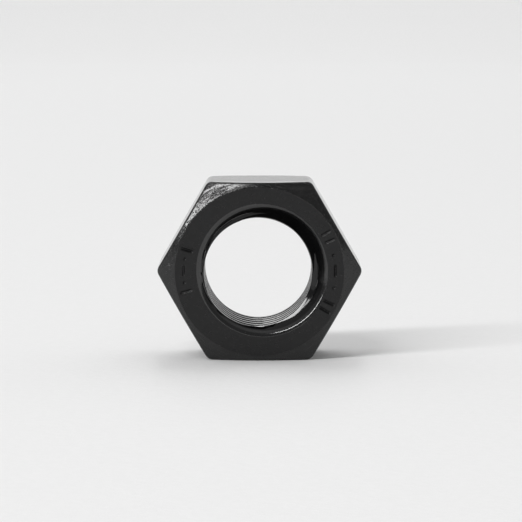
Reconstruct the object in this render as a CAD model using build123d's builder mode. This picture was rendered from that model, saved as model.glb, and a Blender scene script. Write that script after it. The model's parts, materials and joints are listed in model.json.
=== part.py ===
"""Hexagon nut, M16 coarse thread, across-flats size 24, style 1.

The nut stands on one flat, with its bore along Y. The origin is the middle of the bore, halfway
between the two bearing faces. Corners point to +X and -X, and the marked face looks along -Y.
"""
from build123d import *
from build123d.topology import SkipClean
from math import ceil, cos, isclose, radians, tan
import os

# Driving dimensions, in millimetres and degrees
SIDES = 6
ACROSS_FLATS = 23.8
HEIGHT = 12.8                  # from bearing face to bearing face, along Y
THREAD_DIAMETER = 16.0
PITCH = 2.0
BORE_DIAMETER = 14.4           # over the thread's crests
THREAD_ANGLE = 60
BEARING_DIAMETER = 22.6        # circle where the corner chamfer starts
CORNER_CHAMFER_ANGLE = 30
COUNTERSINK_DIAMETER = 17.3    # at the bearing face, before its lip is rounded
PILOT_DIAMETER = 12.0          # hole that is drilled before the bore is opened to size
LIP_RADIUS = 0.5
CORNER_RADIUS = 1.1            # on the six long edges, as cold forging leaves them
BORE_SECTORS = 6

# Worked out from the driving dimensions
half_height = HEIGHT / 2
half_side_angle = 180 / SIDES  # from the middle of a flat to its corner
corner_reach = ACROSS_FLATS / 2 / cos(radians(half_side_angle))
chamfer_depth = (corner_reach - BEARING_DIAMETER / 2) * tan(radians(CORNER_CHAMFER_ANGLE))
pilot_sink_depth = (COUNTERSINK_DIAMETER - PILOT_DIAMETER) / 2
sector_angle = 360 / BORE_SECTORS

# The groove between two thread crests: its root is a flat of an eighth of the pitch, and its
# mouth stands inside the bore so that the cut leaves no skin.
root_flat = PITCH / 8
mouth_inset = 0.15
groove_depth = (THREAD_DIAMETER - BORE_DIAMETER) / 2 + mouth_inset
mouth_width = root_flat + 2 * groove_depth * tan(radians(THREAD_ANGLE / 2))
turn_count = ceil(HEIGHT / PITCH) + 1
first_turn = -turn_count * PITCH / 2

os.makedirs("parts", exist_ok=True)


# One turn of the thread groove: a trapezoid carried once round a right-hand helix
with BuildPart() as groove_turn:
    with BuildLine() as crest_helix:
        Helix(
            pitch=PITCH,
            height=PITCH,
            radius=BORE_DIAMETER / 2 - mouth_inset,
            direction=(0, 1, 0),
        )
    helix_start = crest_helix.line @ 0
    outward = Vector(helix_start.X, 0, helix_start.Z).normalized()
    with BuildSketch(Plane(origin=helix_start, x_dir=outward, z_dir=crest_helix.line % 0)):
        with BuildLine():
            Polyline(
                (0, -mouth_width / 2),
                (groove_depth, -root_flat / 2),
                (groove_depth, root_flat / 2),
                (0, mouth_width / 2),
                close=True,
            )
        make_face()
    sweep(path=crest_helix.line, is_frenet=True)


# One sector of the bore, right through the nut
with BuildPart() as bore_sector:
    with BuildSketch(Plane.XZ):
        with BuildLine():
            wall = CenterArc((0, 0), BORE_DIAMETER / 2, 0, sector_angle)
            Line((0, 0), wall @ 0)
            Line(wall @ 1, (0, 0))
        make_face()
    extrude(amount=half_height, both=True)


# Hex nut: a hexagonal blank, turned at both ends, countersunk, bored and tapped
with BuildPart() as hex_nut:
    with BuildSketch(Plane.XZ):
        RegularPolygon(radius=ACROSS_FLATS / 2, side_count=SIDES, major_radius=False)
    extrude(amount=half_height, both=True)
    fillet(hex_nut.edges().filter_by(Axis.Y), radius=CORNER_RADIUS)

    # Turned outline: two flat bearing faces, with a shallow cone that takes off the corners
    with BuildSketch(Plane.XY):
        with BuildLine():
            Polyline(
                (0, -half_height),
                (BEARING_DIAMETER / 2, -half_height),
                (corner_reach, -half_height + chamfer_depth),
                (corner_reach, half_height - chamfer_depth),
                (BEARING_DIAMETER / 2, half_height),
                (0, half_height),
                close=True,
            )
        make_face()
    revolve(axis=Axis.Y, mode=Mode.INTERSECT)

    # Pilot hole with a countersink at each end, whose lip is rounded off
    with BuildSketch(Plane.XY):
        with BuildLine():
            Polyline(
                (0, -half_height),
                (COUNTERSINK_DIAMETER / 2, -half_height),
                (PILOT_DIAMETER / 2, -half_height + pilot_sink_depth),
                (PILOT_DIAMETER / 2, half_height - pilot_sink_depth),
                (COUNTERSINK_DIAMETER / 2, half_height),
                (0, half_height),
                close=True,
            )
        make_face()
    revolve(axis=Axis.Y, mode=Mode.SUBTRACT)
    lips = hex_nut.edges().filter_by(GeomType.CIRCLE).filter_by(
        lambda edge: isclose(edge.radius, COUNTERSINK_DIAMETER / 2)
    )
    fillet(lips, radius=LIP_RADIUS)

    # Bore and thread. The sectors of the bore wall stay separate faces, so that each crest face
    # of the thread spans one sector.
    with SkipClean():
        for sector in range(BORE_SECTORS):
            add(
                bore_sector.part,
                rotation=(0, sector * sector_angle, 0),
                clean=False,
                mode=Mode.SUBTRACT,
            )
        with Locations(*[(0, first_turn + turn * PITCH, 0) for turn in range(turn_count)]):
            add(groove_turn.part, clean=False, mode=Mode.SUBTRACT)

hex_nut.part.label = "hex_nut"
export_step(hex_nut.part, "parts/hex_nut.step")
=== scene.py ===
"""Black hexagon nut in a small studio.

The nut is one piece, meshed here as a ring of closed profiles about its bore: bearing faces, corner
chamfers, six flats, countersinks and a true right-hand thread. All lengths are in metres.
"""

import json
import math

import bpy
import numpy as np
from mathutils import Matrix, Vector, noise


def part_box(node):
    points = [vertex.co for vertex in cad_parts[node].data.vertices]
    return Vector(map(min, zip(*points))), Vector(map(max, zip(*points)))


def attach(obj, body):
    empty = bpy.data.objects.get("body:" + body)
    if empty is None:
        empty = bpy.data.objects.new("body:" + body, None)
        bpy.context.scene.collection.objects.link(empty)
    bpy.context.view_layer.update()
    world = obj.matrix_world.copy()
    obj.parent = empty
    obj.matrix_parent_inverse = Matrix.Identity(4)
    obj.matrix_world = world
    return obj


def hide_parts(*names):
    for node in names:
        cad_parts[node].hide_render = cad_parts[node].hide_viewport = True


bl_info = {
    "name": "Hex Nut Workshop",
    "version": (1, 0, 0),
    "blender": (4, 5, 0),
    "location": "View3D > Sidebar > Hex Nut",
    "description": "Builds a black hexagon nut and the studio that it is shown in",
    "category": "Object",
}

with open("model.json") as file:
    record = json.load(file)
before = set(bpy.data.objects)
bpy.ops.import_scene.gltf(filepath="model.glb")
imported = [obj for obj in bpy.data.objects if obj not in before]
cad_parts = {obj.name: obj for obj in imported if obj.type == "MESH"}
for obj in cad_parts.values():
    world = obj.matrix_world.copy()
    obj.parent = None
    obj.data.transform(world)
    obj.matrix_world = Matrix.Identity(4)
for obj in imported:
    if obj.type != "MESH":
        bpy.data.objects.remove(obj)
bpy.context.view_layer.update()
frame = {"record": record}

NUT_NODE = "hex_nut"
MM = 0.001
SIDES = 6
HALF_SIDE = math.pi / SIDES

NUT_LOW, NUT_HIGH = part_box(NUT_NODE)
MOUNTS = {mount["name"]: mount for mount in frame["record"]["mounts"]}
CREST_RADIUS = MOUNTS["thread"]["dims"]["r_mm"] * MM
NUT_HEIGHT = NUT_HIGH.y - NUT_LOW.y
ACROSS_FLATS = NUT_HIGH.z - NUT_LOW.z
SHARP_REACH = ACROSS_FLATS / 2 / math.cos(HALF_SIDE)
CORNER_RADIUS = (SHARP_REACH - NUT_HIGH.x) / (1 / math.cos(HALF_SIDE) - 1)


# ---------------------------------------------------------------------------------------------
# Settings that a user would change
# ---------------------------------------------------------------------------------------------


def length(name, description, default):
    """A length in metres."""
    return bpy.props.FloatProperty(
        name=name, description=description, default=default, unit="LENGTH", precision=5
    )


def shift(name, description, default):
    """A shift off the nut's axis in metres, along X and Z."""
    return bpy.props.FloatVectorProperty(
        name=name, description=description, default=default, size=2, unit="LENGTH", precision=5
    )


def angle(name, description, degrees):
    """An angle, given in degrees."""
    return bpy.props.FloatProperty(
        name=name, description=description, default=math.radians(degrees), subtype="ANGLE"
    )


def colour(name, description, default):
    """A linear colour."""
    return bpy.props.FloatVectorProperty(
        name=name, description=description, default=default, subtype="COLOR", min=0, max=1
    )


def factor(name, description, default):
    """A number from 0 to 1."""
    return bpy.props.FloatProperty(
        name=name, description=description, default=default, min=0, max=1, subtype="FACTOR"
    )


def refraction(name, description, default):
    """An index of refraction."""
    return bpy.props.FloatProperty(name=name, description=description, default=default, min=1, max=3)


def watts(name, description, default):
    """A lamp's power."""
    return bpy.props.FloatProperty(
        name=name, description=description, default=default, min=0, unit="POWER"
    )


class NutSizes(bpy.types.PropertyGroup):
    """Sizes of the nut"""

    bearing_diameter: length("Bearing diameter", "Where the corner chamfer starts", 22.6 * MM)
    chamfer_angle: angle("Chamfer angle", "Corner chamfer, from the bearing face", 30)
    thread_diameter: length("Thread diameter", "Over the roots of the thread", 16 * MM)
    pitch: length("Pitch", "From one crest to the next", 2 * MM)
    flank_angle: angle("Flank angle", "Lean of each thread flank", 30)
    sink_diameter: length("Countersink diameter", "At the bearing face, before rounding", 17.2 * MM)
    lip_radius: length("Lip radius", "Where countersink and bearing face meet", 0.85 * MM)
    bore_shift: shift("Bore shift", "Bore off the nut's axis, along X and Z", (-0.2 * MM, -0.15 * MM))
    front_sink_shift: shift(
        "Front countersink shift",
        "Front countersink off the nut's axis, along X and Z",
        (0.52 * MM, 0.22 * MM),
    )
    back_sink_shift: shift(
        "Back countersink shift",
        "Back countersink off the nut's axis, along X and Z",
        (-0.1 * MM, 0.12 * MM),
    )
    face_edge_radius: length("Face edge radius", "Where chamfer and bearing face meet", 0.35 * MM)
    flat_edge_radius: length("Flat edge radius", "Where chamfer and flat meet", 0.45 * MM)
    forging_depth: length("Forging unevenness", "Height of the forged surface's waves", 0.012 * MM)
    mark_depth: length("Mark depth", "Depth of the plain punch marks", 0.22 * MM)
    mark_width: length("Mark width", "Half the width of a punched stroke", 0.24 * MM)


class NutFinish(bpy.types.PropertyGroup):
    """Finish of the nut"""

    coat_colour: colour("Coat", "Black coat on the turned faces", (0.003, 0.003, 0.0032))
    forged_colour: colour("Forged coat", "Black coat on chamfers and flats", (0.004, 0.004, 0.0042))
    worn_colour: colour("Worn coat", "Where the coat is thin", (0.012, 0.012, 0.012))
    coat_roughness: factor("Coat roughness", "Roughness of the turned faces", 0.3)
    forged_roughness: factor("Forged roughness", "Roughness of chamfers and flats", 0.17)
    lip_roughness: factor("Lip roughness", "Roughness of the countersink's lip", 0.15)
    thread_roughness: factor("Thread roughness", "Roughness of the cut thread", 0.1)
    coat_ior: refraction("Coat IOR", "Refraction of the coat on the turned faces", 1.42)
    forged_ior: refraction("Forged coat IOR", "Refraction of the coat on chamfers and flats", 1.52)
    lip_ior: refraction("Lip coat IOR", "Refraction of the thin coat on the countersink's lip", 1.7)


class StudioSettings(bpy.types.PropertyGroup):
    """Floor, lamps and camera"""

    paper_colour: colour("Paper", "Pale floor and backdrop", (0.845, 0.845, 0.845))
    room_colour: colour("Room", "Dim room behind the camera", (0.22, 0.22, 0.22))
    wall_colour: colour("Far wall", "Pale wall and ceiling behind the nut", (0.95, 0.95, 0.95))
    key_power: watts("Key lamp", "Long soft box at the upper left, in front", 40)
    back_power: watts("Back lamp", "Tall soft box behind and above", 4.2)
    camera_distance: length("Camera distance", "From the middle of the nut", 400 * MM)
    camera_elevation: angle("Camera elevation", "Above the middle of the nut", 6.0)
    camera_lens: bpy.props.FloatProperty(
        name="Lens", description="Focal length of the lens", default=205, min=1, unit="CAMERA"
    )


# ---------------------------------------------------------------------------------------------
# Shape of the nut, worked out on arrays: one value for each column of the mesh about the bore
# ---------------------------------------------------------------------------------------------

FINE_STEP, COARSE_STEP = 0.46, 1.0    # degrees between columns, in marked stretches and elsewhere
CORNER_WINDOW = 3.0                   # degrees each side of a corner that need fine columns
MARKED_STRETCHES = ((0, 36), (181, 23))    # middle and half width of each, degrees
FRONT_FACE_ROWS, BACK_FACE_ROWS = 30, 6    # rows across each bearing face
CONE_ROWS_DEPTH = 0.5 * MM            # where the rows of the ends stop and those of the bore start
CONE_LEAST_RADIUS = 2 * MM            # well inside the bore, so that a cone's tip does no harm
THREAD_FADE = 0.4 * MM                # over which the groove starts, in from the ends' rows
THREAD_SOFTNESS = 0.02 * MM           # rounding of the thread's own edges


def column_turns():
    """Angles about +Y, from +X, of the mesh's columns: close together at corners and marks."""
    turns, turn = [], 0.0
    while turn < 360:
        turns.append(turn)
        off_corner = abs((turn + 30) % 60 - 30)
        marked = any(
            abs((turn - middle + 180) % 360 - 180) < half_width for middle, half_width in MARKED_STRETCHES
        )
        turn += FINE_STEP if marked or off_corner < CORNER_WINDOW else COARSE_STEP
    return np.radians(turns)


def hexagon_reach(turns):
    """Distance from the axis to the rounded hexagon, in each column."""
    inner = ACROSS_FLATS / 2
    off_flat = np.abs((turns % (2 * HALF_SIDE)) - HALF_SIDE)
    centre = (inner - CORNER_RADIUS) / math.cos(HALF_SIDE)
    tangent = math.atan((inner - CORNER_RADIUS) * math.tan(HALF_SIDE) / inner)
    off_corner = HALF_SIDE - off_flat
    under_root = np.maximum(CORNER_RADIUS**2 - (centre * np.sin(off_corner)) ** 2, 0)
    rounded = centre * np.cos(off_corner) + np.sqrt(under_root)
    return np.where(off_flat < tangent, inner / np.cos(off_flat), rounded)


def shifted_reach(turns, radius, off_axis):
    """Distance from the nut's axis to a circle whose centre is off that axis, along X and Z."""
    along = off_axis[0] * np.cos(turns) - off_axis[1] * np.sin(turns)
    across = off_axis[0] * np.sin(turns) + off_axis[1] * np.cos(turns)
    return along + np.sqrt(radius**2 - across**2)


def arc_corner(before, corner, after, radius, steps):
    """Points that round a corner of every column's profile. Each point is a pair (reach, y)."""
    to_before = before - corner
    to_after = after - corner
    to_before /= np.linalg.norm(to_before, axis=0)
    to_after /= np.linalg.norm(to_after, axis=0)
    half = np.arccos(np.clip((to_before * to_after).sum(0), -1, 1)) / 2
    bisector = to_before + to_after
    bisector /= np.linalg.norm(bisector, axis=0)
    centre = corner + bisector * radius / np.sin(half)
    points = []
    for step in range(steps + 1):
        lean = (0.5 - step / steps) * (math.pi - 2 * half)
        across = (to_before - to_after) / np.linalg.norm(to_before - to_after, axis=0)
        points.append(centre - bisector * radius * np.cos(lean) + across * radius * np.sin(lean))
    return points


def between(start, end, steps):
    """Points spaced evenly from start to end, without either of them."""
    return [start + (end - start) * step / steps for step in range(1, steps)]


def pair(reach, y, like):
    """One profile point for every column."""
    return np.array([np.broadcast_to(reach, like.shape), np.broadcast_to(y, like.shape)], float)


def end_profile(sizes, turns, sink_shift, face_rows):
    """One end of the nut, from the countersink's cone out to the middle of the flats, at y < 0."""
    half = NUT_HEIGHT / 2
    reach = hexagon_reach(turns)
    sink = shifted_reach(turns, sizes.sink_diameter / 2, sink_shift)
    bearing = sizes.bearing_diameter / 2

    cone = pair(sink - CONE_ROWS_DEPTH, -half + CONE_ROWS_DEPTH, turns)
    lip_edge = pair(sink, -half, turns)
    face_edge = pair(bearing, -half, turns)
    flat_edge = pair(reach, -half + (reach - bearing) * math.tan(sizes.chamfer_angle), turns)
    middle = pair(reach, 0, turns)

    lip_round = arc_corner(cone, lip_edge, face_edge, sizes.lip_radius, 12)
    face_round = arc_corner(lip_edge, face_edge, flat_edge, sizes.face_edge_radius, 4)
    flat_round = arc_corner(face_edge, flat_edge, middle, sizes.flat_edge_radius, 5)
    rows = [cone]
    rows += lip_round + between(lip_round[-1], face_round[0], face_rows)
    rows += face_round + between(face_round[-1], flat_round[0], 4 + face_rows // 5)
    rows += flat_round + between(flat_round[-1], middle, 4)
    return rows


def root_half_width(sizes):
    """Half the width of the thread's flat root, an eighth of the pitch wide."""
    return sizes.pitch / 16


def crest_half_width(sizes):
    """Half the width of the thread's flat crest."""
    depth = sizes.thread_diameter / 2 - CREST_RADIUS
    return sizes.pitch / 2 - root_half_width(sizes) - depth * math.tan(sizes.flank_angle)


def thread_breaks(sizes):
    """Heights of the mesh's rows within one pitch, from the middle of a crest.

    The rows lie close together where crest and flank, and flank and root, meet.
    """
    crest = crest_half_width(sizes)
    root = sizes.pitch / 2 - root_half_width(sizes)
    flank = root - crest
    rising = [0, crest * 0.8, crest, crest + flank * 0.12, crest + flank * 0.5]
    rising += [root - flank * 0.12, root]
    return np.array(rising + [sizes.pitch / 2] + [sizes.pitch - y for y in rising[:0:-1]])


def soft_clamp(value, low, high, softness):
    """value held between low and high, with rounded corners where it meets them."""
    value = low + softness * np.logaddexp(0, (value - low) / softness)
    return high - softness * np.logaddexp(0, (high - value) / softness)


def bore_reach(sizes, turns, y):
    """Distance from the nut's axis to the bore's wall: thread, or countersink where that is wider."""
    half = NUT_HEIGHT / 2
    climb = y - sizes.pitch * turns / (2 * math.pi)
    off_crest = np.abs((climb + sizes.pitch / 2) % sizes.pitch - sizes.pitch / 2)
    rise = (off_crest - crest_half_width(sizes)) / math.tan(sizes.flank_angle)
    groove = soft_clamp(rise, 0, sizes.thread_diameter / 2 - CREST_RADIUS, THREAD_SOFTNESS)
    cones = np.zeros(y.shape)
    for off_axis, into in ((sizes.front_sink_shift, y + half), (sizes.back_sink_shift, half - y)):
        cone = np.maximum(sizes.sink_diameter / 2 - into, CONE_LEAST_RADIUS)
        cones = np.maximum(cones, shifted_reach(turns, cone, off_axis))
        groove *= np.clip((into - CONE_ROWS_DEPTH) / THREAD_FADE, 0, 1)
    return np.maximum(shifted_reach(turns, CREST_RADIUS + groove, sizes.bore_shift), cones)


# ---------------------------------------------------------------------------------------------
# Surface detail that is real shape: forging waves and plain punch marks
# ---------------------------------------------------------------------------------------------

# Plain dots and short bars round the front bearing face: turn about the bore and lean from the
# radius in degrees, length in metres. A dot has no length.
PUNCH_MARKS = (
    (-30.5, 0, 1.4 * MM), (-24, 0, 1.4 * MM), (-13, 0, 0), (-1, 90, 1.3 * MM),
    (12, 0, 0), (24, 0, 1.4 * MM), (30.5, 0, 1.4 * MM),
    (165, 0, 1.3 * MM), (172, 0, 0), (181, 90, 1.0 * MM), (190, 0, 0), (197, 0, 1.3 * MM),
)
MARK_CIRCLE = 10.05 * MM
BURR_HEIGHT = 0.12                    # rim round a mark, as a part of the mark's depth
FORGED_FADE = 0.5 * MM                # over which the forging waves start, out from the bearing face
END_DEPTH, END_FADE = 1.6 * MM, 0.4 * MM    # the chamfers' zone, where waves run along Y


def punch_depth(sizes, x, z):
    """How deep the punch marks are below the front face, at points of that face."""
    deepest = np.zeros_like(x)
    for turn, lean, stroke in PUNCH_MARKS:
        turn, lean = math.radians(turn), math.radians(turn + lean)
        dx = x - MARK_CIRCLE * math.cos(turn)
        dz = z + MARK_CIRCLE * math.sin(turn)
        along = dx * math.cos(lean) - dz * math.sin(lean)
        across = dx * math.sin(lean) + dz * math.cos(lean)
        along -= np.clip(along, -stroke / 2, stroke / 2)
        apart = np.hypot(along, across) / sizes.mark_width
        pressed = 1 - np.clip(apart, 0, 1) ** 2 * (3 - 2 * np.clip(apart, 0, 1))
        burr = BURR_HEIGHT * np.exp(-(((apart - 1.25) / 0.25) ** 2))
        deepest = np.maximum(deepest, pressed) - burr * (deepest < 0.01)
    return deepest * sizes.mark_depth


def forged_wave(points, scale, seed):
    """Smooth unevenness from -1 to 1 at each point."""
    offset = Vector((seed, seed * 1.7, seed * 2.3))
    return np.array([noise.noise(Vector(point) / scale + offset) for point in points])


# ---------------------------------------------------------------------------------------------
# Mesh
# ---------------------------------------------------------------------------------------------

FACE, CHAMFER, FLAT, LIP, BORE = range(5)    # material slots
SNAP = 0.02 * MM                      # a bore vertex this close to an end ring is left out
FLAT_MARGIN = 0.001 * MM              # how far off the plane a bearing face's points may be
KIND_MARGIN = 0.1 * MM                # slack where one kind of surface meets the next
PUNCHED_RADIUS = MARK_CIRCLE - 1 * MM    # the punch marks lie outside this


def ring_points(reach, y, turns):
    """Points in space of one row of the mesh."""
    return np.stack([reach * np.cos(turns), np.broadcast_to(y, reach.shape), -reach * np.sin(turns)], -1)


def outside_rows(sizes, turns):
    """Rows of points from the front countersink, round the outside, to the back countersink."""
    front = end_profile(sizes, turns, sizes.front_sink_shift, FRONT_FACE_ROWS)
    back = end_profile(sizes, turns, sizes.back_sink_shift, BACK_FACE_ROWS)
    back = [np.array([reach, -y]) for reach, y in back]
    profile = front + [pair(hexagon_reach(turns), 0, turns)] + back[::-1]
    return np.array([ring_points(reach, y, turns) for reach, y in profile])


def press_details(sizes, rows):
    """Punches the marks into the front face and makes the forged surfaces uneven."""
    points = rows.reshape(-1, 3)
    reach = np.hypot(points[:, 0], points[:, 2])
    half = NUT_HEIGHT / 2
    on_front = points[:, 1] < -half + FLAT_MARGIN
    depth = punch_depth(sizes, points[:, 0], points[:, 2])
    forged = np.clip((reach - sizes.bearing_diameter / 2) / FORGED_FADE, 0, 1)
    wave = forged_wave(points, 2.2 * MM, 3.0) + 0.5 * forged_wave(points, 0.9 * MM, 7.0)
    wave = np.abs(wave * (forged * sizes.forging_depth))
    outward = points * (1, 0, 1) / reach[:, None]
    on_end = np.clip((np.abs(points[:, 1]) - half + END_DEPTH) / END_FADE, 0, 1)
    points -= outward * (wave * (1 - on_end))[:, None]
    points[:, 1] += np.where(on_front, depth, 0)
    points[:, 1] -= np.sign(points[:, 1]) * wave * on_end
    return points.reshape(rows.shape)


def ring_faces(numbers):
    """Faces between the rows of a grid of vertex numbers that closes on itself."""
    wrapped = np.concatenate([numbers, numbers[:, :1]], 1)
    return [
        (low[c], low[c + 1], high[c + 1], high[c])
        for low, high in zip(wrapped, wrapped[1:])
        for c in range(len(low) - 1)
    ]


def bore_surface(sizes, turns, numbers, low, high):
    """Vertices and faces of the bore, between the end rings of the outside at heights low and high.

    The rows follow the thread, so each climbs one pitch in a turn. A row that would lie past an
    end ring is that ring, and after a full turn a row goes on as the one a pitch up.
    """
    breaks = thread_breaks(sizes)
    pitch_count = math.ceil((high - low) / sizes.pitch) + 2
    start = (math.floor(low / sizes.pitch) - 1) * sizes.pitch
    starts = start + sizes.pitch * np.arange(pitch_count + 1)
    heights = (starts[:, None] + breaks[None, :]).ravel()
    y = heights[:, None] + sizes.pitch * turns[None, :] / (2 * math.pi)
    around = np.broadcast_to(turns, y.shape)
    inside = (y > low + SNAP) & (y < high - SNAP)
    bore = np.where(y <= low + SNAP, numbers[0], numbers[-1])
    bore[inside] = numbers.size + np.arange(inside.sum())
    last = np.concatenate([bore[len(breaks):, 0], np.full(len(breaks), numbers[-1, 0])])
    bore = np.concatenate([bore, last[:, None]], 1)
    faces = []
    for under, over in zip(bore, bore[1:]):
        for c in range(len(turns)):
            face = tuple(dict.fromkeys((under[c], over[c], over[c + 1], under[c + 1])))
            if len(face) > 2:
                faces.append(face)
    return ring_points(bore_reach(sizes, around, y), y, around)[inside], faces


def surface_kind(sizes, centre):
    """Which finish the outside face with this centre has."""
    reach = math.hypot(centre[0], centre[2])
    depth = NUT_HEIGHT / 2 - abs(centre[1])
    past_bearing = reach - sizes.bearing_diameter / 2
    if past_bearing < -KIND_MARGIN:
        on_face = depth < 2 * FLAT_MARGIN or reach > PUNCHED_RADIUS
        return FACE if on_face else LIP
    on_chamfer = depth < past_bearing * math.tan(sizes.chamfer_angle) + KIND_MARGIN
    return CHAMFER if on_chamfer else FLAT


def nut_mesh(sizes):
    """The nut's mesh, with one material slot for each kind of surface."""
    turns = column_turns()
    rows = press_details(sizes, outside_rows(sizes, turns))
    numbers = np.arange(rows.shape[0] * rows.shape[1]).reshape(rows.shape[:2])
    bore_points, bore_faces = bore_surface(sizes, turns, numbers, rows[0, 0, 1], rows[-1, 0, 1])
    outside_faces = ring_faces(numbers)
    vertices = np.concatenate([rows.reshape(-1, 3), bore_points])
    faces = [tuple(map(int, face)) for face in outside_faces + bore_faces]

    mesh = bpy.data.meshes.new("hex_nut_surface")
    mesh.from_pydata(vertices.tolist(), [], faces)
    kinds = [surface_kind(sizes, vertices[list(face)].mean(0)) for face in outside_faces]
    kinds += [BORE] * len(bore_faces)
    mesh.polygons.foreach_set("material_index", kinds)
    mesh.polygons.foreach_set("use_smooth", [True] * len(faces))
    mesh.update()
    mesh.validate()
    return mesh


# ---------------------------------------------------------------------------------------------
# Materials
# ---------------------------------------------------------------------------------------------


class Nodes:
    """A new node material, and short ways to add and join its nodes."""

    def __init__(self, name):
        self.material = bpy.data.materials.new(name)
        self.material.use_nodes = True
        self.tree = self.material.node_tree
        self.shader = self.tree.nodes["Principled BSDF"]
        self.place = self.add("ShaderNodeTexCoord").outputs["Object"]

    def add(self, kind, **settings):
        """A node with these settings."""
        node = self.tree.nodes.new(kind)
        for key, value in settings.items():
            setattr(node, key, value)
        return node

    def join(self, output, target):
        """Links an output to an input."""
        self.tree.links.new(output, target)

    def around(self, along, across):
        """A vector that runs round the bore, outward and along it, each in waves a metre."""
        parts = self.add("ShaderNodeSeparateXYZ")
        self.join(self.place, parts.inputs["Vector"])
        turn = self.add("ShaderNodeMath", operation="ARCTAN2")
        self.join(parts.outputs["Z"], turn.inputs[0])
        self.join(parts.outputs["X"], turn.inputs[1])
        ring = self.add("ShaderNodeCombineXYZ")
        self.join(parts.outputs["X"], ring.inputs["X"])
        self.join(parts.outputs["Z"], ring.inputs["Y"])
        reach = self.add("ShaderNodeVectorMath", operation="LENGTH")
        self.join(ring.outputs["Vector"], reach.inputs[0])
        made = self.add("ShaderNodeCombineXYZ")
        for value, key, scale in (
            (turn.outputs["Value"], "X", along * SHARP_REACH),
            (reach.outputs["Value"], "Y", across),
            (parts.outputs["Y"], "Z", across),
        ):
            scaled = self.add("ShaderNodeMath", operation="MULTIPLY")
            scaled.inputs[1].default_value = scale
            self.join(value, scaled.inputs[0])
            self.join(scaled.outputs["Value"], made.inputs[key])
        return made.outputs["Vector"]

    def noise(self, scale, detail, vector=None, roughness=0.55):
        """Fractal noise, about 0.5 on average. scale is in waves a metre."""
        node = self.add("ShaderNodeTexNoise")
        node.inputs["Scale"].default_value = scale
        node.inputs["Detail"].default_value = detail
        node.inputs["Roughness"].default_value = roughness
        self.join(vector or self.place, node.inputs["Vector"])
        return node.outputs["Fac"]

    def spread(self, value, from_low, from_high, to_low, to_high):
        """value moved from one range to another, and held to it."""
        node = self.add("ShaderNodeMapRange")
        for key, number in zip(
            ("From Min", "From Max", "To Min", "To Max"), (from_low, from_high, to_low, to_high)
        ):
            node.inputs[key].default_value = number
        self.join(value, node.inputs["Value"])
        return node.outputs["Result"]

    def blend(self, amount, first, second):
        """A colour between first and second."""
        node = self.add("ShaderNodeMix", data_type="RGBA")
        node.inputs["A"].default_value = (*first, 1)
        node.inputs["B"].default_value = (*second, 1)
        self.join(amount, node.inputs["Factor"])
        return node.outputs["Result"]

    def bump(self, height, distance, under=None):
        """Bumps of this height in metres, on top of those that under gives."""
        node = self.add("ShaderNodeBump")
        node.inputs["Distance"].default_value = distance
        node.inputs["Strength"].default_value = 1
        self.join(height, node.inputs["Height"])
        if under is not None:
            self.join(under, node.inputs["Normal"])
        return node.outputs["Normal"]


def black_coat(name, ior, colour_low, colour_high, roughness):
    """Black coat whose colour and gloss vary softly. Bumps are added by the caller."""
    nodes = Nodes(name)
    shader = nodes.shader
    shader.inputs["IOR"].default_value = ior
    smudge = nodes.noise(260, 4)
    nodes.join(
        nodes.blend(nodes.spread(smudge, 0.38, 0.72, 0, 1), colour_low, colour_high),
        shader.inputs["Base Color"],
    )
    fine = nodes.noise(1900, 3)
    nodes.join(
        nodes.spread(fine, 0.3, 0.7, roughness * 0.86, roughness * 1.16), shader.inputs["Roughness"]
    )
    return nodes


def turned_face_material(finish):
    """Bearing faces: smooth, with a very fine grain."""
    lighter = tuple(c * 1.25 for c in finish.coat_colour)
    nodes = black_coat(
        "black_bearing_face", finish.coat_ior, finish.coat_colour, lighter, finish.coat_roughness
    )
    grain = nodes.bump(nodes.noise(5200, 3), 0.004 * MM)
    waves = nodes.bump(nodes.noise(700, 2), 0.004 * MM, under=grain)
    nodes.join(waves, nodes.shader.inputs["Normal"])
    return nodes.material


def chamfer_material(finish):
    """Corner chamfers: scuffs along the edges, small pits and a thinner coat in soft random patches."""
    nodes = black_coat(
        "black_chamfer",
        finish.forged_ior,
        finish.forged_colour,
        finish.worn_colour,
        finish.forged_roughness,
    )
    scuffs = nodes.noise(1, 4, nodes.around(260, 2600), roughness=0.6)
    dents = nodes.noise(520, 3)
    pits = nodes.noise(5200, 2)
    bumps = nodes.bump(nodes.spread(scuffs, 0.5, 0.74, 0, 1), 0.024 * MM)
    bumps = nodes.bump(dents, 0.02 * MM, under=bumps)
    pitted = nodes.bump(nodes.spread(pits, 0.56, 0.7, 0, 1), 0.02 * MM, under=bumps)
    nodes.join(pitted, nodes.shader.inputs["Normal"])
    return nodes.material


def flat_material(finish):
    """The six flats: smoother than the chamfers, with a slight waviness."""
    nodes = black_coat(
        "black_flat",
        finish.forged_ior,
        finish.forged_colour,
        finish.worn_colour,
        finish.forged_roughness * 0.6,
    )
    waves = nodes.bump(nodes.noise(450, 3), 0.008 * MM)
    grain = nodes.bump(nodes.noise(3200, 3), 0.002 * MM, under=waves)
    nodes.join(grain, nodes.shader.inputs["Normal"])
    return nodes.material


def cut_material(name, finish, ior, roughness):
    """Countersink lips and thread: cut metal under the coat, with fine rings left by the tool."""
    nodes = black_coat(name, ior, finish.coat_colour, finish.forged_colour, roughness)
    rings = nodes.noise(1, 3, nodes.around(120, 2400))
    nodes.join(nodes.bump(rings, 0.004 * MM), nodes.shader.inputs["Normal"])
    return nodes.material


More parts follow.
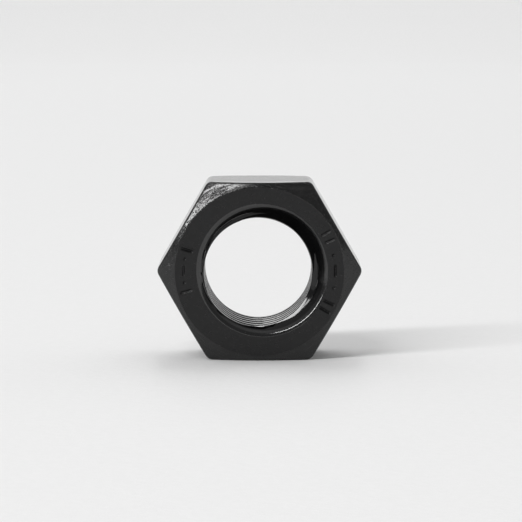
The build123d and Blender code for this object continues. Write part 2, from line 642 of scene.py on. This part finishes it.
def paper_material(colour_value):
    """Matt pale paper with a faint grain."""
    nodes = Nodes("studio_paper")
    shader = nodes.shader
    shader.inputs["Roughness"].default_value = 0.9
    shader.inputs["Specular IOR Level"].default_value = 0.1
    grain = nodes.noise(900, 4, roughness=0.6)
    darker = tuple(c * 0.985 for c in colour_value)
    paper = nodes.blend(nodes.spread(grain, 0.35, 0.65, 0, 1), darker, colour_value)
    nodes.join(paper, shader.inputs["Base Color"])
    nodes.join(nodes.bump(grain, 0.06 * MM), shader.inputs["Normal"])
    return nodes.material


# ---------------------------------------------------------------------------------------------
# Operators
# ---------------------------------------------------------------------------------------------


def new_object(name, data):
    """An object in the scene's own collection."""
    made = bpy.data.objects.new(name, data)
    bpy.context.scene.collection.objects.link(made)
    return made


class HEXNUT_OT_build_nut(bpy.types.Operator):
    """Build the nut round its bore and give it its black finish"""

    bl_idname = "hexnut.build_nut"
    bl_label = "Hex Nut"

    def execute(self, context):
        scene = context.scene
        sizes, finish = scene.nut_sizes, scene.nut_finish
        mesh = nut_mesh(sizes)
        for material in (                 # in the order of the kinds of surface
            turned_face_material(finish),
            chamfer_material(finish),
            flat_material(finish),
            cut_material("black_lip", finish, finish.lip_ior, finish.lip_roughness),
            cut_material("black_thread", finish, finish.coat_ior, finish.thread_roughness),
        ):
            mesh.materials.append(material)
        nut = new_object("nut", mesh)
        normals = nut.modifiers.new("flat_faces_stay_flat", "WEIGHTED_NORMAL")
        normals.mode = "FACE_AREA"
        normals.keep_sharp = False
        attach(nut, "root")
        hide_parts(NUT_NODE)
        return {"FINISHED"}


TRAY_FLAT_RADIUS, TRAY_CURVE_RADIUS = 1.0, 0.3
TRAY_CURVE_TURN = 60                  # degrees that the tray's rim has turned up by at its edge
TRAY_COLUMNS, TRAY_FLAT_STEPS, TRAY_CURVE_STEPS = 96, 10, 12
KEY_SIZE, KEY_PLACE, KEY_ALONG = (2.4, 0.26), (-1.375, -1.41, 1.54), (0.775, -0.06, 0.63)
BACK_SIZE, BACK_PLACE, BACK_ALONG = (0.2, 1.4), (0, 1.1, 1.1), (1, 0, 0)
WALL_DIRECTION = (0, 0.86, 0.5)       # from the nut to the middle of the pale wall
WALL_EDGE, WALL_FULL = 0.1, 0.8       # cosines off that direction where the wall starts and is full
CAMERA_AIM = Vector((0.2 * MM, 0, 0.8 * MM))


def build_paper(settings):
    """The paper tray: flat under the nut and curved up all round it."""
    profile = [(TRAY_FLAT_RADIUS * step / TRAY_FLAT_STEPS, 0) for step in range(1, TRAY_FLAT_STEPS + 1)]
    for step in range(1, TRAY_CURVE_STEPS + 1):
        turn = math.radians(TRAY_CURVE_TURN * step / TRAY_CURVE_STEPS)
        out = TRAY_FLAT_RADIUS + TRAY_CURVE_RADIUS * math.sin(turn)
        profile.append((out, TRAY_CURVE_RADIUS * (1 - math.cos(turn))))
    count = len(profile)
    vertices, faces = [(0, 0, NUT_LOW.z)], []
    for column in range(TRAY_COLUMNS):
        turn = 2 * math.pi * column / TRAY_COLUMNS
        for out, up in profile:
            vertices.append((out * math.sin(turn), -out * math.cos(turn), NUT_LOW.z + up))
        here, there = 1 + column * count, 1 + (column + 1) % TRAY_COLUMNS * count
        faces.append((0, here, there))
        faces += [(here + k, here + k + 1, there + k + 1, there + k) for k in range(count - 1)]
    mesh = bpy.data.meshes.new("studio_paper")
    mesh.from_pydata(vertices, [], faces)
    mesh.polygons.foreach_set("use_smooth", [True] * len(faces))
    mesh.materials.append(paper_material(settings.paper_colour))
    new_object("paper_tray", mesh)


def soft_box(name, power, size, place, along):
    """A rectangular area lamp that faces the nut, with its long side in the given direction."""
    lamp = bpy.data.lights.new(name, "AREA")
    lamp.shape = "RECTANGLE"
    lamp.size, lamp.size_y = size
    lamp.energy = power
    back = Vector(place).normalized()
    side = (Vector(along) - back * back.dot(along)).normalized()
    made = new_object(name, lamp)
    made.matrix_world = Matrix((side, back.cross(side), back)).transposed().to_4x4()
    made.location = place


def room_world(settings):
    """A room that is dim behind the camera and pale behind the nut."""
    world = bpy.data.worlds.new("studio_room")
    world.use_nodes = True
    tree = world.node_tree
    direction = tree.nodes.new("ShaderNodeTexCoord").outputs["Generated"]
    facing = tree.nodes.new("ShaderNodeVectorMath")
    facing.operation = "DOT_PRODUCT"
    facing.inputs[1].default_value = WALL_DIRECTION
    ramp = tree.nodes.new("ShaderNodeMapRange")
    ramp.inputs["From Min"].default_value = WALL_EDGE
    ramp.inputs["From Max"].default_value = WALL_FULL
    mix = tree.nodes.new("ShaderNodeMix")
    mix.data_type = "RGBA"
    mix.inputs["A"].default_value = (*settings.room_colour, 1)
    mix.inputs["B"].default_value = (*settings.wall_colour, 1)
    tree.links.new(direction, facing.inputs[0])
    tree.links.new(facing.outputs["Value"], ramp.inputs["Value"])
    tree.links.new(ramp.outputs["Result"], mix.inputs["Factor"])
    tree.links.new(mix.outputs["Result"], tree.nodes["Background"].inputs["Color"])
    return world


class HEXNUT_OT_build_studio(bpy.types.Operator):
    """Build the paper sweep, the lamps and the camera"""

    bl_idname = "hexnut.build_studio"
    bl_label = "Studio"

    def execute(self, context):
        scene = context.scene
        settings = scene.nut_studio
        build_paper(settings)
        soft_box("key_soft_box", settings.key_power, KEY_SIZE, KEY_PLACE, KEY_ALONG)
        soft_box("back_soft_box", settings.back_power, BACK_SIZE, BACK_PLACE, BACK_ALONG)
        scene.world = room_world(settings)
        scene.view_settings.view_transform = "Standard"

        lens = bpy.data.cameras.new("camera")
        lens.lens = settings.camera_lens
        lens.clip_start, lens.clip_end = 0.01, 10
        camera = new_object("camera", lens)
        lift = settings.camera_elevation
        away = Vector((0, -math.cos(lift), math.sin(lift)))
        camera.location = CAMERA_AIM + away * settings.camera_distance
        camera.rotation_euler = (-away).to_track_quat("-Z", "Y").to_euler()
        scene.camera = camera
        return {"FINISHED"}


class HEXNUT_PT_workshop(bpy.types.Panel):
    """Lists what the workshop builds"""

    bl_idname = "HEXNUT_PT_workshop"
    bl_label = "Hex Nut Workshop"
    bl_space_type = "VIEW_3D"
    bl_region_type = "UI"
    bl_category = "Hex Nut"

    def draw(self, context):
        column = self.layout.column()
        column.operator(HEXNUT_OT_build_nut.bl_idname)
        column.operator(HEXNUT_OT_build_studio.bl_idname)
        for group in (context.scene.nut_sizes, context.scene.nut_finish, context.scene.nut_studio):
            box = self.layout.box()
            for name in group.__annotations__:
                box.prop(group, name)


CLASSES = (
    NutSizes,
    NutFinish,
    StudioSettings,
    HEXNUT_OT_build_nut,
    HEXNUT_OT_build_studio,
    HEXNUT_PT_workshop,
)


def register():
    """Registers the classes and the settings that they use."""
    for cls in CLASSES:
        bpy.utils.register_class(cls)
    bpy.types.Scene.nut_sizes = bpy.props.PointerProperty(type=NutSizes)
    bpy.types.Scene.nut_finish = bpy.props.PointerProperty(type=NutFinish)
    bpy.types.Scene.nut_studio = bpy.props.PointerProperty(type=StudioSettings)


def unregister():
    """Takes back what register did."""
    del bpy.types.Scene.nut_studio
    del bpy.types.Scene.nut_finish
    del bpy.types.Scene.nut_sizes
    for cls in reversed(CLASSES):
        bpy.utils.unregister_class(cls)


def main():
    register()
    bpy.ops.hexnut.build_nut()
    bpy.ops.hexnut.build_studio()


if __name__ == "__main__":
    main()
